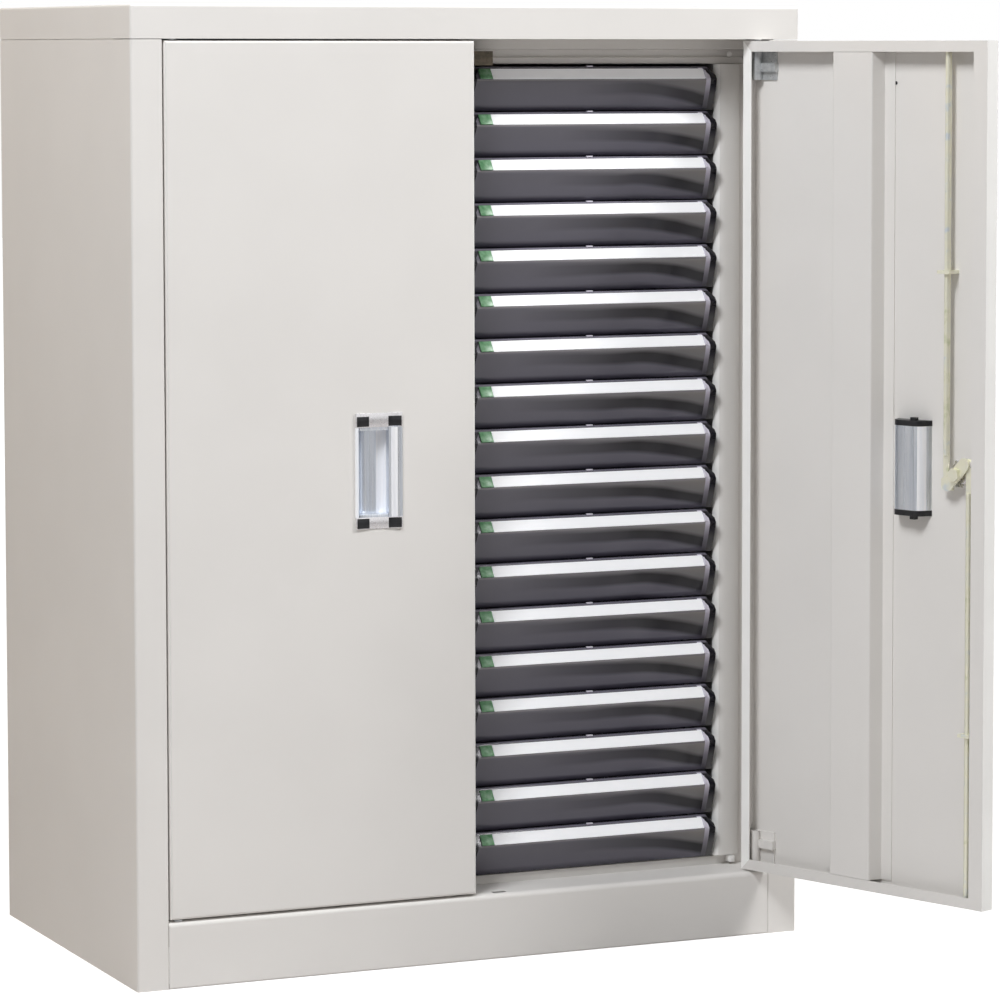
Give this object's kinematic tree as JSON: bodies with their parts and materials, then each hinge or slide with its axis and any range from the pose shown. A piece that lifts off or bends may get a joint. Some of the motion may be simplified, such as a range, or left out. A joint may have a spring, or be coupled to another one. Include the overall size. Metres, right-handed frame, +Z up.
{
  "type": "multi-drawer cabinet",
  "caption": "Freestanding steel cabinet with two hinged doors, recessed pulls and a rod lock, over two columns of shallow smoked plastic drawers with label fronts.",
  "frame": {"origin": "middle of the casing's footprint, on the floor, at the underside of the base beam", "axes": "+X to the right seen from the front, +Y to the back, +Z up"},
  "size_m": [0.7255, 0.6583, 0.88],
  "materials": {
    "powder_coated_steel": "fine-textured satin powder coat, warm light grey",
    "smoked_polystyrene": "smoked see-through moulding, glossy",
    "anodised_aluminium": "bright anodised",
    "zinc_plated_steel": "pale yellow passivated zinc",
    "chromed_zinc": "polished chrome",
    "brown_plastic": "moulded, dark brown"
  },
  "bodies": {
    "carcass": {"side_panel_left": "powder_coated_steel", "side_panel_right": "powder_coated_steel", "top_cap": "powder_coated_steel", "back_panel": "powder_coated_steel", "plinth_rail": "powder_coated_steel", "bottom_pan": "powder_coated_steel", "base_beam": "powder_coated_steel", "drawer_header": "powder_coated_steel", "bay_walls": "powder_coated_steel", "drawer_runners": "powder_coated_steel", "magnetic_catch": "brown_plastic", "hinge_pins": "zinc_plated_steel"},
    "door_left": {"door_shell_left": "powder_coated_steel", "door_channel_left": "powder_coated_steel", "pull_left": "anodised_aluminium", "door_fittings_left": "zinc_plated_steel"},
    "door_right": {"door_shell_right": "powder_coated_steel", "door_channel_right": "powder_coated_steel", "pull_right": "anodised_aluminium", "door_fittings_right": "zinc_plated_steel", "lock_cylinder": "chromed_zinc"},
    "lock_cam": {"lock_cam": "zinc_plated_steel"},
    "lock_rod_upper": {"lock_rod_upper": "zinc_plated_steel"},
    "lock_rod_lower": {"lock_rod_lower": "zinc_plated_steel"},
    "drawer_left_01": {"drawer_left_01": "smoked_polystyrene"},
    "drawer_left_02": {"drawer_left_02": "smoked_polystyrene"},
    "drawer_left_03": {"drawer_left_03": "smoked_polystyrene"},
    "drawer_left_04": {"drawer_left_04": "smoked_polystyrene"},
    "drawer_left_05": {"drawer_left_05": "smoked_polystyrene"},
    "drawer_left_06": {"drawer_left_06": "smoked_polystyrene"},
    "drawer_left_07": {"drawer_left_07": "smoked_polystyrene"},
    "drawer_left_08": {"drawer_left_08": "smoked_polystyrene"},
    "drawer_left_09": {"drawer_left_09": "smoked_polystyrene"},
    "drawer_left_10": {"drawer_left_10": "smoked_polystyrene"},
    "drawer_left_11": {"drawer_left_11": "smoked_polystyrene"},
    "drawer_left_12": {"drawer_left_12": "smoked_polystyrene"},
    "drawer_left_13": {"drawer_left_13": "smoked_polystyrene"},
    "drawer_left_14": {"drawer_left_14": "smoked_polystyrene"},
    "drawer_left_15": {"drawer_left_15": "smoked_polystyrene"},
    "drawer_left_16": {"drawer_left_16": "smoked_polystyrene"},
    "drawer_left_17": {"drawer_left_17": "smoked_polystyrene"},
    "drawer_left_18": {"drawer_left_18": "smoked_polystyrene"},
    "drawer_right_01": {"drawer_right_01": "smoked_polystyrene"},
    "drawer_right_02": {"drawer_right_02": "smoked_polystyrene"},
    "drawer_right_03": {"drawer_right_03": "smoked_polystyrene"},
    "drawer_right_04": {"drawer_right_04": "smoked_polystyrene"},
    "drawer_right_05": {"drawer_right_05": "smoked_polystyrene"},
    "drawer_right_06": {"drawer_right_06": "smoked_polystyrene"},
    "drawer_right_07": {"drawer_right_07": "smoked_polystyrene"},
    "drawer_right_08": {"drawer_right_08": "smoked_polystyrene"},
    "drawer_right_09": {"drawer_right_09": "smoked_polystyrene"},
    "drawer_right_10": {"drawer_right_10": "smoked_polystyrene"},
    "drawer_right_11": {"drawer_right_11": "smoked_polystyrene"},
    "drawer_right_12": {"drawer_right_12": "smoked_polystyrene"},
    "drawer_right_13": {"drawer_right_13": "smoked_polystyrene"},
    "drawer_right_14": {"drawer_right_14": "smoked_polystyrene"},
    "drawer_right_15": {"drawer_right_15": "smoked_polystyrene"},
    "drawer_right_16": {"drawer_right_16": "smoked_polystyrene"},
    "drawer_right_17": {"drawer_right_17": "smoked_polystyrene"},
    "drawer_right_18": {"drawer_right_18": "smoked_polystyrene"}
  },
  "joints": [
    {"name": "door_left_hinge", "type": "hinge", "parent": "carcass", "child": "door_left", "pos_m": [-0.2899, -0.189, 0.455], "axis": [0, 0, -1], "range_deg": [0, 116]},
    {"name": "door_right_hinge", "type": "hinge", "parent": "carcass", "child": "door_right", "pos_m": [0.2899, -0.189, 0.455], "axis": [0, 0, 1], "range_deg": [-110.4, 5.6]},
    {"name": "lock_turn", "type": "hinge", "parent": "door_right", "child": "lock_cam", "pos_m": [0.37472, -0.42568, 0.457], "axis": [0.9373, 0.3486, 0], "range_deg": [0, 90]},
    {"name": "lock_rod_upper_slide", "type": "slide", "parent": "door_right", "child": "lock_rod_upper", "axis": [0, 0, 1], "range_m": [0, 0.01909]},
    {"name": "lock_rod_lower_slide", "type": "slide", "parent": "door_right", "child": "lock_rod_lower", "axis": [0, 0, -1], "range_m": [0, 0.0192]},
    {"name": "drawer_left_01_slide", "type": "slide", "parent": "carcass", "child": "drawer_left_01", "axis": [0, -1, 0], "range_m": [0, 0.016]},
    {"name": "drawer_left_02_slide", "type": "slide", "parent": "carcass", "child": "drawer_left_02", "axis": [0, -1, 0], "range_m": [0, 0.016]},
    {"name": "drawer_left_03_slide", "type": "slide", "parent": "carcass", "child": "drawer_left_03", "axis": [0, -1, 0], "range_m": [0, 0.016]},
    {"name": "drawer_left_04_slide", "type": "slide", "parent": "carcass", "child": "drawer_left_04", "axis": [0, -1, 0], "range_m": [0, 0.016]},
    {"name": "drawer_left_05_slide", "type": "slide", "parent": "carcass", "child": "drawer_left_05", "axis": [0, -1, 0], "range_m": [0, 0.016]},
    {"name": "drawer_left_06_slide", "type": "slide", "parent": "carcass", "child": "drawer_left_06", "axis": [0, -1, 0], "range_m": [0, 0.016]},
    {"name": "drawer_left_07_slide", "type": "slide", "parent": "carcass", "child": "drawer_left_07", "axis": [0, -1, 0], "range_m": [0, 0.016]},
    {"name": "drawer_left_08_slide", "type": "slide", "parent": "carcass", "child": "drawer_left_08", "axis": [0, -1, 0], "range_m": [0, 0.016]},
    {"name": "drawer_left_09_slide", "type": "slide", "parent": "carcass", "child": "drawer_left_09", "axis": [0, -1, 0], "range_m": [0, 0.016]},
    {"name": "drawer_left_10_slide", "type": "slide", "parent": "carcass", "child": "drawer_left_10", "axis": [0, -1, 0], "range_m": [0, 0.016]},
    {"name": "drawer_left_11_slide", "type": "slide", "parent": "carcass", "child": "drawer_left_11", "axis": [0, -1, 0], "range_m": [0, 0.016]},
    {"name": "drawer_left_12_slide", "type": "slide", "parent": "carcass", "child": "drawer_left_12", "axis": [0, -1, 0], "range_m": [0, 0.016]},
    {"name": "drawer_left_13_slide", "type": "slide", "parent": "carcass", "child": "drawer_left_13", "axis": [0, -1, 0], "range_m": [0, 0.016]},
    {"name": "drawer_left_14_slide", "type": "slide", "parent": "carcass", "child": "drawer_left_14", "axis": [0, -1, 0], "range_m": [0, 0.016]},
    {"name": "drawer_left_15_slide", "type": "slide", "parent": "carcass", "child": "drawer_left_15", "axis": [0, -1, 0], "range_m": [0, 0.016]},
    {"name": "drawer_left_16_slide", "type": "slide", "parent": "carcass", "child": "drawer_left_16", "axis": [0, -1, 0], "range_m": [0, 0.016]},
    {"name": "drawer_left_17_slide", "type": "slide", "parent": "carcass", "child": "drawer_left_17", "axis": [0, -1, 0], "range_m": [0, 0.016]},
    {"name": "drawer_left_18_slide", "type": "slide", "parent": "carcass", "child": "drawer_left_18", "axis": [0, -1, 0], "range_m": [0, 0.016]},
    {"name": "drawer_right_01_slide", "type": "slide", "parent": "carcass", "child": "drawer_right_01", "axis": [0, -1, 0], "range_m": [0, 0.25]},
    {"name": "drawer_right_02_slide", "type": "slide", "parent": "carcass", "child": "drawer_right_02", "axis": [0, -1, 0], "range_m": [0, 0.25]},
    {"name": "drawer_right_03_slide", "type": "slide", "parent": "carcass", "child": "drawer_right_03", "axis": [0, -1, 0], "range_m": [0, 0.25]},
    {"name": "drawer_right_04_slide", "type": "slide", "parent": "carcass", "child": "drawer_right_04", "axis": [0, -1, 0], "range_m": [0, 0.25]},
    {"name": "drawer_right_05_slide", "type": "slide", "parent": "carcass", "child": "drawer_right_05", "axis": [0, -1, 0], "range_m": [0, 0.25]},
    {"name": "drawer_right_06_slide", "type": "slide", "parent": "carcass", "child": "drawer_right_06", "axis": [0, -1, 0], "range_m": [0, 0.25]},
    {"name": "drawer_right_07_slide", "type": "slide", "parent": "carcass", "child": "drawer_right_07", "axis": [0, -1, 0], "range_m": [0, 0.25]},
    {"name": "drawer_right_08_slide", "type": "slide", "parent": "carcass", "child": "drawer_right_08", "axis": [0, -1, 0], "range_m": [0, 0.25]},
    {"name": "drawer_right_09_slide", "type": "slide", "parent": "carcass", "child": "drawer_right_09", "axis": [0, -1, 0], "range_m": [0, 0.25]},
    {"name": "drawer_right_10_slide", "type": "slide", "parent": "carcass", "child": "drawer_right_10", "axis": [0, -1, 0], "range_m": [0, 0.25]},
    {"name": "drawer_right_11_slide", "type": "slide", "parent": "carcass", "child": "drawer_right_11", "axis": [0, -1, 0], "range_m": [0, 0.25]},
    {"name": "drawer_right_12_slide", "type": "slide", "parent": "carcass", "child": "drawer_right_12", "axis": [0, -1, 0], "range_m": [0, 0.25]},
    {"name": "drawer_right_13_slide", "type": "slide", "parent": "carcass", "child": "drawer_right_13", "axis": [0, -1, 0], "range_m": [0, 0.25]},
    {"name": "drawer_right_14_slide", "type": "slide", "parent": "carcass", "child": "drawer_right_14", "axis": [0, -1, 0], "range_m": [0, 0.25]},
    {"name": "drawer_right_15_slide", "type": "slide", "parent": "carcass", "child": "drawer_right_15", "axis": [0, -1, 0], "range_m": [0, 0.25]},
    {"name": "drawer_right_16_slide", "type": "slide", "parent": "carcass", "child": "drawer_right_16", "axis": [0, -1, 0], "range_m": [0, 0.25]},
    {"name": "drawer_right_17_slide", "type": "slide", "parent": "carcass", "child": "drawer_right_17", "axis": [0, -1, 0], "range_m": [0, 0.25]},
    {"name": "drawer_right_18_slide", "type": "slide", "parent": "carcass", "child": "drawer_right_18", "axis": [0, -1, 0], "range_m": [0, 0.25]}
  ],
  "couplings": [
    {"joint": "lock_turn", "follows": "lock_rod_upper_slide", "rad_per_m": 82.276},
    {"joint": "lock_rod_lower_slide", "follows": "lock_rod_upper_slide", "ratio": 1}
  ]
}
